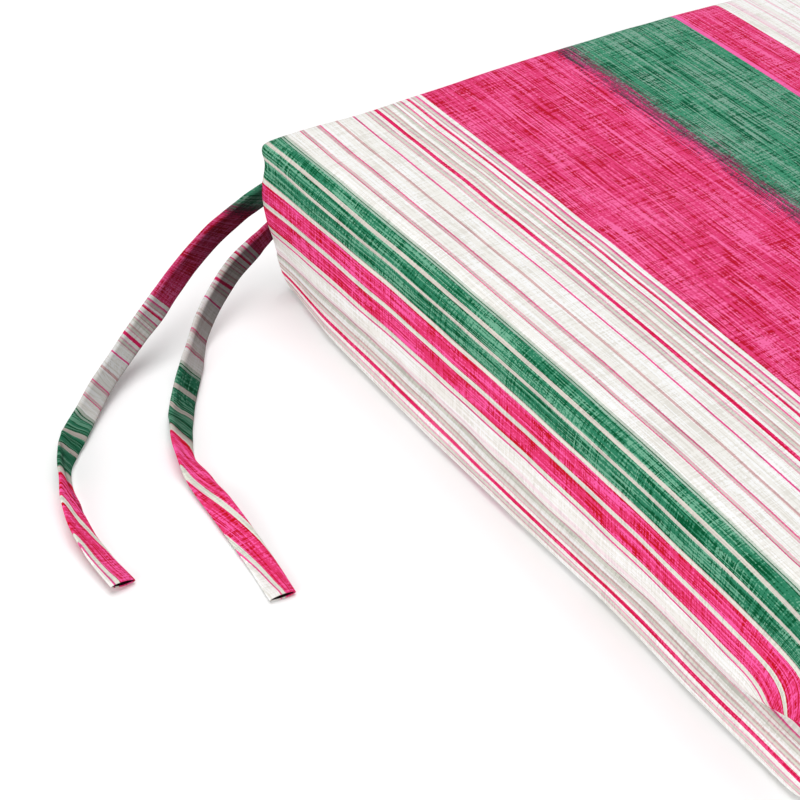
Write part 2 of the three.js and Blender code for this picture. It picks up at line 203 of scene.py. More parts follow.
# The wide pink and green bands shade into each other between these places across the stripe. The
# weights say how far the grain, the threads, patches and streaks each strew that edge.
SHADED_EDGE = (196.0, 244.0)
SHADED_WOBBLE = 20.0
SHADED_PATCH = (60.0, 50.0)
SHADED_STREAK = (1.5, 24.0)
SHADED_BY = {"grain": 0.9, "thread": 0.7, "patch": 0.15, "streak": 0.7}

# Threads and slubs, in millimetres across and along the stripe. The real threads are about 0.4 mm
# wide, too fine for the picture, so they are drawn 0.6 mm wide.
THREAD = 0.6
THREAD_REACH = 70.0
CROSS_THREAD = 0.7
CROSS_THREAD_REACH = 14.0
THREADS_APART = 7.3
THREAD_SLUB = (1.3, 22.0)
BRIGHT_SLUB = (1.4, 40.0)
CROSS_SLUB = (16.0, 1.6)
SLUB_PATCH = (7.0, 20.0)
FADED_PATCH = (16.0, 45.0)
GRAIN = (1.1, 1.1)
# How much each of them counts in the weave, in its dark and light slubs, and in its height
WEAVE_OF = {"long": 0.8, "cross": 0.5}
DARK_BY = {"weave": 1.0, "slub": 0.8, "patch": 0.5, "cross_slub": 0.4}
LIGHT_BY = {"weave": -1.0, "slub": 0.8, "grain": 0.5, "patch": 0.4}
HEIGHT_BY = {"weave": 0.6, "grain": 0.8}
DARK_FROM = (0.0, 0.2)
LIGHT_FROM = (0.0, 0.22)
CLOTH_ROUGHNESS = 0.95
CLOTH_IOR = 1.5
CLOTH_SPECULAR = 0.08
WEAVE_DEPTH = 0.25
WEAVE_RELIEF = 0.5


def linear(hex_color):
    """An sRGB hex colour as the linear colour that a shader reads."""
    values = [int(hex_color[i:i + 2], 16) / 255 for i in (0, 2, 4)]
    return [v / 12.92 if v <= 0.04045 else ((v + 0.055) / 1.055) ** 2.4 for v in values] + [1.0]


def add(tree, kind, *inputs, output=0, **settings):
    """Adds a node and gives one of its outputs. An input is (socket, a value or what to link)."""
    node = tree.nodes.new(kind)
    for name, value in settings.items():
        setattr(node, name, value)
    for socket, value in inputs:
        if isinstance(value, bpy.types.NodeSocket):
            tree.links.new(value, node.inputs[socket])
        else:
            node.inputs[socket].default_value = value
    return node.outputs[output] if len(node.outputs) else node


def striped_cloth(name):
    """Woven polyester with slubbed yarns: matte, with dark and light streaks both ways and a fine
    grain, which give the eye the weave. Its colour is scaled by a mesh attribute, which is painted
    shade where under 1."""
    material = bpy.data.materials.new(name)
    material.use_nodes = True
    tree = material.node_tree
    tree.nodes.clear()
    place = add(tree, "ShaderNodeUVMap", uv_map="cloth")
    place = add(tree, "ShaderNodeVectorMath", (0, place), (3, 1 / MM), operation="SCALE")
    across = add(tree, "ShaderNodeSeparateXYZ", (0, place))

    def noise_at(spot, size, seed, detail=0.0):
        """Noise, drawn out over the given millimetres across and along the stripe, round zero."""
        spot = add(tree, "ShaderNodeMapping", ("Vector", spot), ("Location", (seed, seed, seed)),
                   ("Scale", (1 / size[0], 1 / size[1], 1.0)))
        value = add(tree, "ShaderNodeTexNoise", ("Vector", spot), ("Scale", 1.0),
                    ("Detail", detail), ("Roughness", 0.5))
        return add(tree, "ShaderNodeMath", (0, value), (1, 0.5), operation="SUBTRACT")

    def threads(step, size, seed):
        """Noise that jumps from thread to thread and changes slowly along each."""
        spot = add(tree, "ShaderNodeVectorMath", (0, place), (1, step), operation="SNAP")
        return noise_at(spot, size, seed)

    def summed(*terms):
        """The sum of each value times its weight."""
        total = 0.0
        for value, weight in terms:
            total = add(tree, "ShaderNodeMath", (0, value), (1, weight), (2, total),
                        operation="MULTIPLY_ADD")
        return total

    long_thread = threads((THREAD, 0.01, 1.0), (THREAD / THREADS_APART, THREAD_REACH), 2.9)
    cross_thread = threads((0.01, CROSS_THREAD, 1.0),
                           (CROSS_THREAD_REACH, CROSS_THREAD / THREADS_APART), 11.3)
    grain = noise_at(place, GRAIN, 21.7)

    # Where the stripe is looked up: a thread's wobble at each edge, and far more where two bands
    # shade into each other, which is where the fringe's share isn't 0 or 1
    fringe = add(tree, "ShaderNodeMapRange", ("Value", across), ("From Min", SHADED_EDGE[0]),
                 ("From Max", SHADED_EDGE[1]), interpolation_type="LINEAR")
    fringe = add(tree, "ShaderNodeMath", (0, fringe), (1, 0.5), (2, 0.498), operation="COMPARE")
    strewn = summed((grain, SHADED_BY["grain"]), (long_thread, SHADED_BY["thread"]),
                    (noise_at(place, SHADED_PATCH, 37.0), SHADED_BY["patch"]),
                    (noise_at(place, SHADED_STREAK, 61.0), SHADED_BY["streak"]))
    strewn = add(tree, "ShaderNodeMath", (0, strewn), (1, fringe), operation="MULTIPLY")
    wobble = noise_at(place, EDGE_WOBBLE_SIZE, 31.0)
    looked_up = summed((across, 1.0), (wobble, EDGE_WOBBLE), (strewn, SHADED_WOBBLE),
                       (-REPEAT_START, 1.0))
    on_cloth = add(tree, "ShaderNodeMath", (0, looked_up), (1, REPEAT), (2, 0.0), operation="WRAP")

    def stripe_colors(shade):
        """The stripe in one shade of each yarn. A ramp is only sharp to 1/256 of its length, so
        short ramps hold the thin lines."""
        color = None
        for start, end in zip(RAMP_STARTS, RAMP_STARTS[1:]):
            rows = [row for row in STRIPES if start < row[0] < end]
            running = [row for row in STRIPES if row[0] <= start][-1]
            rows.insert(0, (start, running[1]))
            share = add(tree, "ShaderNodeMapRange", ("Value", on_cloth),
                        ("From Min", start - REPEAT_START), ("From Max", end - REPEAT_START))
            ramp = add(tree, "ShaderNodeValToRGB", ("Fac", share))
            stops = ramp.node.color_ramp
            stops.interpolation = "CONSTANT"
            while len(stops.elements) < len(rows):
                stops.elements.new(1.0)
            for stop, (edge, _) in zip(stops.elements, rows):
                stop.position = (edge - start) / (end - start)
            for stop, (_, yarn) in zip(stops.elements, rows):
                stop.color = linear(YARNS[yarn][shade])
            if color is None:
                color = ramp
                continue
            beyond = add(tree, "ShaderNodeMath", (0, on_cloth), (1, start - REPEAT_START),
                         operation="GREATER_THAN")
            color = add(tree, "ShaderNodeMix", (0, beyond), (6, color), (7, ramp), output=2,
                        data_type="RGBA")
        return color

    weave = summed((long_thread, WEAVE_OF["long"]), (cross_thread, WEAVE_OF["cross"]))
    dark = summed((weave, DARK_BY["weave"]),
                  (noise_at(place, THREAD_SLUB, 0.0), DARK_BY["slub"]),
                  (noise_at(place, SLUB_PATCH, 13.1, 2.0), DARK_BY["patch"]),
                  (noise_at(place, CROSS_SLUB, 7.3), DARK_BY["cross_slub"]))
    light = summed((weave, LIGHT_BY["weave"]),
                   (noise_at(place, BRIGHT_SLUB, 41.0), LIGHT_BY["slub"]),
                   (grain, LIGHT_BY["grain"]),
                   (noise_at(place, FADED_PATCH, 53.0), LIGHT_BY["patch"]))
    color = stripe_colors(0)
    for value, shade, low, high in ((dark, 1, *DARK_FROM), (light, 2, *LIGHT_FROM)):
        share = add(tree, "ShaderNodeMapRange", ("Value", value), ("From Min", low),
                    ("From Max", high), interpolation_type="SMOOTHSTEP")
        color = add(tree, "ShaderNodeMix", (0, share), (6, color), (7, stripe_colors(shade)),
                    output=2, data_type="RGBA")
    # Painted shade: the colour is scaled by the mesh attribute that the ties and the cushion set
    painted_shade = add(tree, "ShaderNodeAttribute", output="Fac", attribute_name="painted_shade")
    color = add(tree, "ShaderNodeVectorMath", (0, color), (3, painted_shade), operation="SCALE")

    height = summed((weave, HEIGHT_BY["weave"]), (grain, HEIGHT_BY["grain"]))
    bump = add(tree, "ShaderNodeBump", ("Height", height), ("Strength", WEAVE_RELIEF),
               ("Distance", WEAVE_DEPTH * MM))
    shader = add(tree, "ShaderNodeBsdfPrincipled", ("Base Color", color), ("Normal", bump),
                 ("Roughness", CLOTH_ROUGHNESS), ("IOR", CLOTH_IOR),
                 ("Specular IOR Level", CLOTH_SPECULAR))
    add(tree, "ShaderNodeOutputMaterial", ("Surface", shader))
    return material


cloth = striped_cloth("slubbed_woven_polyester")


def smooth_step(low, high, value):
    share = min(1.0, max(0.0, (value - low) / (high - low)))
    return share * share * (3 - 2 * share)


def mix(first, second, share):
    return first + (second - first) * share


def read_table(rows, place):
    """The value of a two-column table at a place, straight between its rows."""
    for (low, first), (high, second) in zip(rows, rows[1:]):
        if place <= high:
            return mix(first, second, max(0.0, (place - low) / (high - low)))
    return rows[-1][1]


def smooth_line(points, steps):
    """A smooth line through the points, each (Vector, lean): a centripetal Catmull-Rom curve."""
    ends = [(2 * points[0][0] - points[1][0], points[0][1])] + points
    ends.append((2 * points[-1][0] - points[-2][0], points[-1][1]))
    line = []
    for before, start, end, after in zip(ends, ends[1:], ends[2:], ends[3:]):
        near = (start[0] - before[0]).length ** 0.5
        span = (end[0] - start[0]).length ** 0.5
        far = (after[0] - end[0]).length ** 0.5
        leave = ((start[0] - before[0]) / near - (end[0] - before[0]) / (near + span)) * span
        leave += end[0] - start[0]
        arrive = ((after[0] - end[0]) / far - (after[0] - start[0]) / (span + far)) * span
        arrive += end[0] - start[0]
        for step in range(steps):
            t = step / steps
            square, cube = t * t, t * t * t
            place = (start[0] * (2 * cube - 3 * square + 1) + leave * (cube - 2 * square + t)
                     + end[0] * (3 * square - 2 * cube) + arrive * (cube - square))
            line.append((place, mix(start[1], end[1], smooth_step(0, 1, t))))
    line.append(points[-1])
    return line


def even_line(line, spacing):
    """The same line in even steps. Each is (place, tangent, lean, distance from the start)."""
    runs = [0.0]
    for (a, _), (b, _) in zip(line, line[1:]):
        runs.append(runs[-1] + (b - a).length)
    steps = round(runs[-1] / spacing)
    stations = []
    index = 0
    for step in range(steps + 1):
        run = runs[-1] * step / steps
        while index < len(line) - 2 and runs[index + 1] < run:
            index += 1
        share = (run - runs[index]) / (runs[index + 1] - runs[index])
        a, b = line[index], line[index + 1]
        stations.append([a[0].lerp(b[0], share), None, mix(a[1], b[1], share), run])
    for i, station in enumerate(stations):
        before, after = stations[max(0, i - 1)][0], stations[min(steps, i + 1)][0]
        station[1] = (after - before).normalized()
    return stations


# Which part of the stripe a tie shows: at each place along it, the place across the stripe at its
# upper edge and at its lower one. The stripe crosses it squarely, then slants along its free end.
TIE_STRIPE = {
    "tie_left_upper": (
        [(0, 262), (27, 222), (99, 109.5), (126, 76.6), (139, 60.7), (150, 49.9), (161, 38.4),
         (172, 25.8), (185, 11.6), (207, 0.9), (227, -10.7), (249, -24.5), (269, -39.4),
         (297, -54.4), (304, -57.5), (333, -59.5)],
        [(0, 236), (10, 222), (99, 109.5), (129, 76.6), (143, 60.7), (156, 49.9), (169, 38.4),
         (182, 25.8), (195, 11.6), (208, 0.9), (222, -10.7), (245, -24.5), (311, -39.4),
         (333, -41.5)],
    ),
    "tie_left_lower": (
        [(0, 137), (22, 109.5), (51, 76.6), (64, 60.7), (76, 49.9), (88, 38.4), (102, 25.8),
         (116, 11.6), (130, 0.9), (145, -10.7), (176, -24.5), (209, -39.4), (268, -54.4),
         (290, -59.5), (317, -68)],
        [(0, 132), (18, 109.5), (48, 76.6), (64, 60.7), (76, 49.9), (89, 38.4), (105, 25.8),
         (123, 11.6), (141, 0.9), (160, -10.7), (185, -24.5), (279, -39.4), (317, -43)],
    ),
    "tie_right_upper": ([(0, 150), (300, -70)], [(0, 144), (300, -60)]),
    "tie_right_lower": ([(0, 96), (280, -72)], [(0, 90), (280, -62)]),
}
# Painted shade along a tie: the share of its colour kept at each place along it. The part that
# hangs from the seam is painted darkest near the seam; the free end keeps its full colour from a
# yarn's edge on.
TIE_PAINTED_SHADE = [(0, 0.26), (18, 0.12), (50, 0.13), (70, 0.2), (100, 0.32), (130, 0.4), (170, 0.44),
              (195, 0.62)]
# Painted highlight: across the strip's upper rim less painted shade is given, so the rim reads lit
TIE_RIM_PAINTED_HIGHLIGHT = 0.72
TIE_RIM = (0.26, 0.42)
# Painted shade stops between these places across the stripe, where the free end begins
TIE_PAINTED_SHADE_STOP = (-27.0, -24.5)
TIE_SLANT_FROM = (140.0, 250.0)
# Painted shade inside the open end: its colour is kept at this small share, nearly black
INSIDE_PAINTED_SHADE = 0.03

# A sharp crease crosses the left upper tie: its ends, each (place along, place across)
TIE_CREASE = {"tie_left_upper": ((226, 0.42), (276, -0.5))}
CREASE_WIDTH = 1.3
CREASE_DEPTH = 0.5
# Painted shade in the crease: its colour is darkened by this share at the crease's deepest
CREASE_PAINTED_SHADE = 0.55

# The free end opens to this half height over this length, and less at the strip's edges
TIE_GAPE = 1.9
TIE_GAPE_LENGTH = 12.0
TIE_GAPE_EDGE_LOSS = 0.6


def make_tie(tie):
    """A straight flat tube, subdivided, then bent along the tie's route and turned by its lean."""
    name = tie["name"]
    start = Vector(tie["start"])
    outwards = (Vector(tie["route"][0][:3]) - start).normalized()
    points = [(start - outwards * SEWN_END_REACH, TIE_SEWN_LEAN),
              (start + outwards * TIE_STRAIGHT, TIE_LEAVING_LEAN)]
    points += [(Vector((x, y, z)), float(lean)) for x, y, z, lean in tie["route"]]
    stations = even_line(smooth_line(points, STEPS_BETWEEN_POINTS), TIE_RING_SPACING)
    rings = len(stations) - 1
    length = stations[-1][3]

    def strip_axes(tangent, lean):
        """The ways across the strip's width and through its thickness."""
        level = tangent.cross(Vector((0, 0, 1))).normalized()
        upright = level.cross(tangent)
        if tie["side"] > 0:
            level = -level
        lean = math.radians(lean)
        wide = level * math.cos(lean) + upright * math.sin(lean)
        return wide, tangent.cross(wide)

    mesh = bmesh.new()
    bmesh.ops.create_cube(mesh, size=1.0)
    lengthwise = [e for e in mesh.edges if abs(e.verts[0].co.z - e.verts[1].co.z) > 0.5]
    bmesh.ops.subdivide_edges(mesh, edges=lengthwise, cuts=rings - 1)
    columns = len(TIE_COLUMNS) - 1
    widthwise = [e for e in mesh.edges if abs(e.verts[0].co.x - e.verts[1].co.x) > 0.5]
    bmesh.ops.subdivide_edges(mesh, edges=widthwise, cuts=columns - 1, use_grid_fill=True)

    end_faces = [f for f in mesh.faces if all(v.co.z > 0.4999 for v in f.verts)]
    stripe = mesh.loops.layers.uv.new("cloth")
    painted_shade = mesh.loops.layers.float.new("painted_shade")
    crease = TIE_CREASE.get(name)
    places = {}
    for vertex in mesh.verts:
        ring = round((vertex.co.z + 0.5) * rings)
        column = TIE_COLUMNS[round((vertex.co.x + 0.5) * columns)]
        face_side = 1 if vertex.co.y > 0 else -1
        place, tangent, lean, run = stations[ring]
        wide, through = strip_axes(tangent, lean)
        edge = abs(2 * column)
        gape = smooth_step(length - TIE_GAPE_LENGTH, length, run)
        swollen = edge ** TIE_EDGE_SWELL_POWER
        half = mix(TIE_MIDDLE_THICKNESS, TIE_EDGE_THICKNESS, swollen) / 2
        half = mix(half, TIE_GAPE * (1 - TIE_GAPE_EDGE_LOSS * edge ** 2), gape)
        half *= (1 - edge ** TIE_EDGE_ROUNDING_POWER * (1 - TIE_EDGE_ROUNDING))
        if edge < STITCH_HALF_WIDTH:
            stitch = 0.5 + 0.5 * math.cos(2 * math.pi * run / STITCH_PITCH)
            half -= STITCH_DEPTH * (1 - gape) * stitch
        sink = 0.0
        if crease:
            from_crease = column - mix(crease[0][1], crease[1][1],
                                       (run - crease[0][0]) / (crease[1][0] - crease[0][0]))
            if crease[0][0] < run < crease[1][0]:
                sink = math.exp(-(from_crease * TIE_WIDTH / CREASE_WIDTH) ** 2)
        places[vertex] = (run, column, sink)
        half -= CREASE_DEPTH * sink * (face_side < 0)
        spot = (run / TIE_RIPPLE_LENGTH, column * TIE_RIPPLE_ACROSS,
                TIE_RIPPLE_SEED + TIE_RIPPLE_SIDE_SEED * tie["side"])
        ripple = noise.noise(Vector(spot)) * TIE_RIPPLE
        lift = (TIE_GAPE - TIE_EDGE_THICKNESS / 2) * gape
        vertex.co = place + wide * (column * TIE_WIDTH) + through * (face_side * half + ripple)
        vertex.co.z += lift

    # The open cut end: its wall is as thick as two layers of cloth, and the tube is hollow behind
    bmesh.ops.recalc_face_normals(mesh, faces=mesh.faces)
    bmesh.ops.inset_region(mesh, faces=end_faces, thickness=TIE_OPEN_END_WALL)
    bmesh.ops.inset_region(mesh, faces=end_faces, thickness=TIE_OPEN_END_EDGE)
    inside = dict.fromkeys(v for f in end_faces for v in f.verts)
    middle = sum((v.co for v in inside), Vector()) / len(inside)
    through = strip_axes(stations[-1][1], stations[-1][2])[1]
    for vertex in inside:
        from_middle = (vertex.co - middle).dot(through)
        vertex.co -= through * from_middle * (1 - TIE_OPEN_END_FLATTENED)
        vertex.co -= stations[-1][1] * TIE_OPEN_END_DEPTH
    upper_edge, lower_edge = TIE_STRIPE[name]
    for face in mesh.faces:
        hollow = any(v in inside for v in face.verts)
        for loop in face.loops:
            near = loop.vert
            if near not in places:
                near = min(places, key=lambda v: (v.co - loop.vert.co).length_squared)
            run, column, sink = places[near]
            across = mix(read_table(lower_edge, run), read_table(upper_edge, run), column + 0.5)
            slant = smooth_step(*TIE_SLANT_FROM, run)
            along = mix(column * TIE_WIDTH, run, slant)
            loop[stripe].uv = (across * MM, along * MM)
            # Painted shade: the hanging part is darkened along its length, less along its upper
            # rim, and not on the free end
            painted_dim = read_table(TIE_PAINTED_SHADE, run)
            painted_dim = mix(painted_dim, TIE_RIM_PAINTED_HIGHLIGHT, smooth_step(*TIE_RIM, column))
            bright = mix(1.0, painted_dim, smooth_step(*TIE_PAINTED_SHADE_STOP, across))
            # Painted shade in the crease, on top of its dent
            bright *= 1 - CREASE_PAINTED_SHADE * sink
            # Inside the open end the colour is painted almost black, as shade
            loop[painted_shade] = INSIDE_PAINTED_SHADE if hollow else bright
    bmesh.ops.scale(mesh, vec=(MM, MM, MM), verts=mesh.verts)

    data = bpy.data.meshes.new(name + "_cloth")
    mesh.to_mesh(data)
    mesh.free()
    data.materials.append(cloth)
    data.shade_smooth()
    piece = bpy.data.objects.new(name + "_cloth", data)
    bpy.context.collection.objects.link(piece)
    rounding = piece.modifiers.new("rounding", "SUBSURF")
    rounding.levels = rounding.render_levels = 1
    return piece, stations


for tie in TIES:
    piece, stations = make_tie(tie)
    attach(piece, "root")
    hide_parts(tie["name"])

# ---------------------------------------------------------------------------------------------
# Cushion: two panels of the striped cloth round a fibre filling. The top panel covers the top and
# hangs down the sides to a low seam, with square back corners closed by an upright seam and round
# front corners. The bottom panel is the underside and a low upstand.
# ---------------------------------------------------------------------------------------------

HALF_SIDE = 252.0
CORNER_HEIGHT = 103.0
SEAM_HEIGHT = 29.0

SIDE_EDGE_LIFT = 6.5
END_EDGE_LIFT = 7.5
CROWN = 8.5
SWELL_POWER = 2.2
SIDE_DRAW_IN = 9.0
SIDE_DRAW_IN_POWER = 2.4
FRONT_SEAM_DRAW_IN = 14.0
FRONT_DRAW_IN_REACH = 150.0
SIDE_BELLY_HEIGHT = 80.0
CORNER_DRAW_IN_LOSS = 0.1
CORNER_DRAW_IN_POWER = 5
END_BULGE = 5.5
END_FOOT_DRAW_IN = 2.0
FOOT_HEIGHT = 4.0

# How far the foot of the left and right sides stands in, from the front to the back
FOOT_LINE = [
    (-252, 11), (-222, 10.3), (-190, 9.9), (-160, 9.3), (-130, 10.3), (-86, 10.6), (-45, 8.5),
    (-9, 6.8), (29, 5.6), (68, 3.9), (110, 3.2), (155, 2.7), (180, 2.9), (200, 3.2), (225, 1.4),
    (252, 0),
]
# How far the back corners stand in from their lines, by height
BACK_CORNER_PROFILE = [
    (0, 8.7), (8, 6.9), (18, 4.7), (27, 3.3), (34, 2.8), (50, -0.4), (60, -2), (69, -2.6),
    (80, -2), (90, -0.2), (97, -2), (103, -1.9),
]
BACK_CORNER_REACH = 70.0
PEAK_LIFT = 3.6
PEAK_REACH = 120.0
PEAK_FROM_HEIGHT = 80.0
SEAM_GROOVE_DEPTH = 2.0
SEAM_GROOVE_WIDTH = 2.6
SEAM_GROOVE_FADE = 0.8
FRONT_CORNER_RADIUS = 74.0
FRONT_CORNER_FOOT_RADIUS = 20.0
BACK_CORNER_RADIUS = 4.0
SMALLEST_CORNER = 2.0
BOTTOM_FOLD = 9.0
TOP_FOLD = 22.0
BACK_TOP_FOLD = 10.0
BACK_CORNER_TOP_FOLD = 5.5
TOP_FOLD_CHANGE = (-40.0, 40.0)

# The block is cut into cells, closer together near the edges, and at these heights
PANEL_CELLS = 64
CELL_CROWDING = 0.25
SIDE_LEVELS = [0, 4, 9, 14, 19, 23, 26, 27.6, 28.6, 29.4, 30.4, 32, 35, 40, 47, 55, 63, 71, 79,
               86, 92, 96, 99.5, 103]
TOP_PANEL_FROM = 29.4

# The cloth at the lower panel's seam, and how the sewn stripe wanders: at each place along it, how
# far the stripe moves at these places across the stripe.
SEAM_CLOTH = 89.6
FLAT_UPSTAND = 29.5
FOOT_CLOTH_DRAW_IN = 10.0
WANDER_AT = (330, 110, 60, 26, 10, -1, -12, -26, -41, -58)
WANDER = [
    (-215, (0.0, 1.4, 0.3, 0.1, -2.8, -3.9, -3.8, -3.2, -2.5, -1.3)),
    (-180, (0.0, 1.4, 0.3, 0.0, -2.0, -2.9, -3.0, -2.7, -1.6, 0.7)),
    (-100, (0.0, 1.4, -0.1, -0.1, -1.4, -2.0, -2.1, -2.2, -2.0, -1.4)),
    (-20, (0.0, 0.3, -0.1, 1.2, 0.1, -0.4, -0.4, -0.4, -1.5, -2.8)),
    (60, (0.0, 0.0, 0.7, 2.7, 2.3, 1.4, 1.9, 2.1, 1.5, -0.1)),
    (140, (0.1, 0.0, 0.8, 2.9, 2.4, 1.7, 2.1, 2.8, 3.0, 2.2)),
    (180, (0.3, -0.3, 0.7, 2.8, 2.5, 1.5, 1.6, 2.4, 2.7, 2.4)),
    (205, (0.8, -0.4, 0.7, 2.5, 1.6, 0.7, 1.0, 1.0, 1.5, 2.5)),
    (250, (1.6, -0.7, -0.5, 0.2, -2.0, -2.3, -1.7, -2.3, -1.3, 1.9)),
]
# Round a front corner the top panel is eased in at the seam: how far the stripe is pulled towards
# the front at the seam, by degrees round the corner, and at which height that starts.
CORNER_EASE = [(0, 0), (12, 0), (19.4, 5), (22.2, 8.5), (28, 14.5), (34.5, 23.5), (45, 31),
               (62, 34), (70.6, 30), (80, 19), (90, 0)]
CORNER_EASE_FROM = 61.0
CORNER_EASE_POWER = 1.3

# The filling's slight unevenness, the puckers beside the seam, and painted shade on the cloth under
# it
RIPPLE = 0.7
RIPPLE_SIZE = 34.0
RIPPLE_FROM_HEIGHT = (2.0, 12.0)
PUCKER = 0.7
PUCKER_SIZE = 12.0
PUCKER_REACH = 9.0
SEAM_PAINTED_SHADE = 0.86
SEAM_PAINTED_SHADE_HEIGHTS = (14.0, 28.0)


def swell(along):
    return 1 - min(1.0, abs(along)) ** SWELL_POWER


def corner_inset(height):
    for (low, first), (high, second) in zip(BACK_CORNER_PROFILE, BACK_CORNER_PROFILE[1:]):
        if height <= high:
            return mix(first, second, smooth_step(low, high, height))
    return BACK_CORNER_PROFILE[-1][1]


def near_back_corner(y, from_corner):
    return 1 - smooth_step(0, BACK_CORNER_REACH, from_corner) if y > 0 else 0.0


def side_draw_in(y, height):
    """How far a left or right side draws in over its foot."""
    along = min(1.0, abs(y) / HALF_SIDE)
    if y >= 0:
        return SIDE_DRAW_IN * (1 - along ** SIDE_DRAW_IN_POWER)
    at_seam = mix(SIDE_DRAW_IN, FRONT_SEAM_DRAW_IN, smooth_step(0, FRONT_DRAW_IN_REACH, -y))
    draw_in = mix(at_seam, SIDE_DRAW_IN, smooth_step(SEAM_HEIGHT, SIDE_BELLY_HEIGHT, height))
    return draw_in * (1 - CORNER_DRAW_IN_LOSS * along ** CORNER_DRAW_IN_POWER)


def top_fold_radius(x, y):
    """The fold is tight along the back edge and its corners, and wide along the other edges."""
    from_corner = math.hypot(HALF_SIDE - abs(x), HALF_SIDE - y)
    along_edge = mix(TOP_FOLD, BACK_TOP_FOLD, smooth_step(*TOP_FOLD_CHANGE, y - abs(x)))
    return mix(BACK_CORNER_TOP_FOLD, along_edge, smooth_step(0, BACK_CORNER_REACH, from_corner))


def round_fold(from_edge, from_panel, radius):
    """Bends the square edge between a flat panel and the side into a quarter circle."""
    if from_edge < radius and from_panel == 0:
        angle = math.pi / 4 * (1 - from_edge / radius)
    elif 0 < from_panel < radius:
        angle = math.pi / 4 * (1 + from_panel / radius)
    else:
        return from_edge, from_panel
    return radius * (1 - math.sin(angle)), radius * (1 - math.cos(angle))


def round_corner(x, y, half, radius):
    """Rounds the corner of a square ring, seen from above."""
    over_x, over_y = abs(x) - (half - radius), abs(y) - (half - radius)
    if over_x <= 0 or over_y <= 0:
        return x, y
    reach = max(over_x, over_y)
    turn = math.pi / 4 * (over_y / over_x if over_y <= over_x else 2 - over_x / over_y)
    return (math.copysign(half - radius + reach * math.cos(turn), x),
            math.copysign(half - radius + reach * math.sin(turn), y))


def cushion_point(x, y, z):
    """The point of the filled cushion for a point on the surface of its square block."""
    ring = max(abs(x), abs(y), 1e-6)
    upper = z > CORNER_HEIGHT / 2
    radius = top_fold_radius(x, y) if upper else BOTTOM_FOLD
    inset, drop = round_fold(HALF_SIDE - ring, CORNER_HEIGHT - z if upper else z, radius)
    height = CORNER_HEIGHT - drop if upper else drop
    half = HALF_SIDE - inset
    over_foot = smooth_step(FOOT_HEIGHT, SEAM_HEIGHT, height)
    corner = BACK_CORNER_RADIUS
    if y < 0:
        corner = mix(FRONT_CORNER_FOOT_RADIUS, FRONT_CORNER_RADIUS, over_foot)
    corner = min(half, max(corner - inset, SMALLEST_CORNER))
    x, y = round_corner(x / ring * half, y / ring * half, half, corner)
    along_x, along_y = x / HALF_SIDE, y / HALF_SIDE

    groove = SEAM_GROOVE_DEPTH * math.exp(-((height - SEAM_HEIGHT) / SEAM_GROOVE_WIDTH) ** 2)
    from_corner = math.hypot(HALF_SIDE - abs(x), HALF_SIDE - y)
    groove *= 1 - SEAM_GROOVE_FADE * near_back_corner(y, from_corner)
    back = corner_inset(height)
    inset_x = groove + mix(read_table(FOOT_LINE, y), side_draw_in(y, height), over_foot)
    inset_y = groove + mix(END_FOOT_DRAW_IN, -END_BULGE, over_foot) * swell(along_x)
    inset_x += back * near_back_corner(y, HALF_SIDE - abs(y))
    inset_y += back * near_back_corner(y, HALF_SIDE - abs(x))
    lift = SIDE_EDGE_LIFT * swell(along_y) + END_EDGE_LIFT * swell(along_x)
    lift += (CROWN - SIDE_EDGE_LIFT - END_EDGE_LIFT) * swell(along_x) * swell(along_y)
    lift *= smooth_step(SEAM_HEIGHT, CORNER_HEIGHT, height)
    near_peak = 1 - smooth_step(0, PEAK_REACH, from_corner)
    lift += PEAK_LIFT * near_peak * smooth_step(PEAK_FROM_HEIGHT, CORNER_HEIGHT, height)
    return Vector((x * (1 - inset_x / HALF_SIDE * along_x * along_x),
                   y * (1 - inset_y / HALF_SIDE * along_y * along_y), height + lift))


def wandered(across, along):
    """The stripe's place, after the wander of the sewn cloth."""
    columns = []
    for column, at in enumerate(WANDER_AT):
        columns.append((at, read_table([(row[0], row[1][column]) for row in WANDER], along)))
    columns.reverse()
    return across + read_table(columns, across)


def upper_cloth(block, region):
    """Where a point of the top panel lies on its flat cloth, in mm across and along the stripe.
    Round the front corners the cloth hangs straight out from the corner's middle."""
    x, y, z = block
    radius = FRONT_CORNER_RADIUS if y < 0 else BACK_CORNER_RADIUS
    hang = CORNER_HEIGHT - z
    in_x, in_y = abs(x) - (HALF_SIDE - radius), abs(y) - (HALF_SIDE - radius)
    if region == "top":
        ring = max(abs(x), abs(y), 1e-6)
        radius = min(ring, max(radius - (HALF_SIDE - ring), SMALLEST_CORNER))
        x, y = round_corner(x, y, ring, radius)
    elif y < 0 and in_x > 0 and in_y > 0:
        turn = math.pi / 4 * (in_y / in_x if in_y <= in_x else 2 - in_x / in_y)
        low = max(0.0, CORNER_EASE_FROM - z) / (CORNER_EASE_FROM - SEAM_HEIGHT)
        ease = read_table(CORNER_EASE, math.degrees(turn)) * low ** CORNER_EASE_POWER
        x = math.copysign(HALF_SIDE - radius + (radius + hang) * math.cos(turn) - ease, x)
        y = math.copysign(HALF_SIDE - radius + (radius + hang) * math.sin(turn), y)
    elif region == "upper_side_x":
        x = math.copysign(HALF_SIDE + hang, x)
    else:
        y = math.copysign(HALF_SIDE + hang, y)
    across = x + HALF_SIDE
    return wandered(across, block[1]), y


